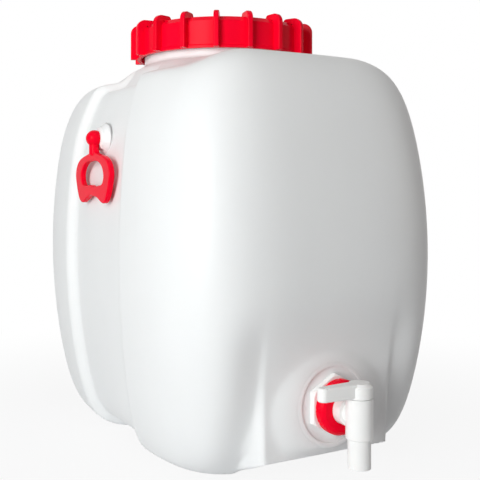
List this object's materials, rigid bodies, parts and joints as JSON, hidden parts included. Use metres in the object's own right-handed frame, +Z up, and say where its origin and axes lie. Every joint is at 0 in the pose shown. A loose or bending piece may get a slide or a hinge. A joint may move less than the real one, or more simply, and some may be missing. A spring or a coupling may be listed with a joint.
{
  "type": "plastic barrel with tap",
  "caption": "Upright rounded plastic liquid barrel with a wide screw lid, two drop handles in side channels and a lever tap low on the front.",
  "frame": {"origin": "on the ground, under the middle of the whole object's length from the tap to the back", "axes": "+Z up, -Y towards the front, where the tap is, +X to the right-hand handle seen from the tap"},
  "size_m": [0.2662, 0.3938, 0.3726],
  "materials": {
    "natural_hdpe": "milky white, satin",
    "red_gloss": "glossy red",
    "tap_white": "white, slightly glossy",
    "seal_rubber": "soft grey rubber"
  },
  "bodies": {
    "barrel": {"barrel": "natural_hdpe", "outlet_bush": "tap_white", "union_nut": "red_gloss", "tap_gasket": "seal_rubber", "tap_body": "tap_white"},
    "lid_seal": {"lid_seal": "seal_rubber"},
    "lid": {"lid": "red_gloss"},
    "tap_plug": {"tap_plug": "tap_white", "plug_seal_upper": "seal_rubber", "plug_seal_lower": "seal_rubber"},
    "handle_left": {"handle_left": "red_gloss"},
    "handle_right": {"handle_right": "red_gloss"}
  },
  "joints": [
    {"name": "lid_lift", "type": "slide", "parent": "barrel", "child": "lid_seal", "axis": [0, 0, 1], "range_m": [0, 0.03]},
    {"name": "lid_turn", "type": "hinge", "parent": "lid_seal", "child": "lid", "pos_m": [0, 0.01595, 0.36], "axis": [0, 0, 1], "range_deg": [0, 1799]},
    {"name": "tap_turn", "type": "hinge", "parent": "barrel", "child": "tap_plug", "pos_m": [0, -0.18705, 0.06], "axis": [0, 0, 1], "range_deg": [0, 90]},
    {"name": "handle_left_swing", "type": "hinge", "parent": "barrel", "child": "handle_left", "pos_m": [-0.126, 0.01595, 0.265], "axis": [0, 1, 0], "range_deg": [0, 100]},
    {"name": "handle_right_swing", "type": "hinge", "parent": "barrel", "child": "handle_right", "pos_m": [0.126, 0.01595, 0.265], "axis": [0, -1, 0], "range_deg": [0, 100]}
  ],
  "couplings": [
    {"joint": "lid_lift", "follows": "lid_turn", "m_per_rad": 0.00095493}
  ]
}
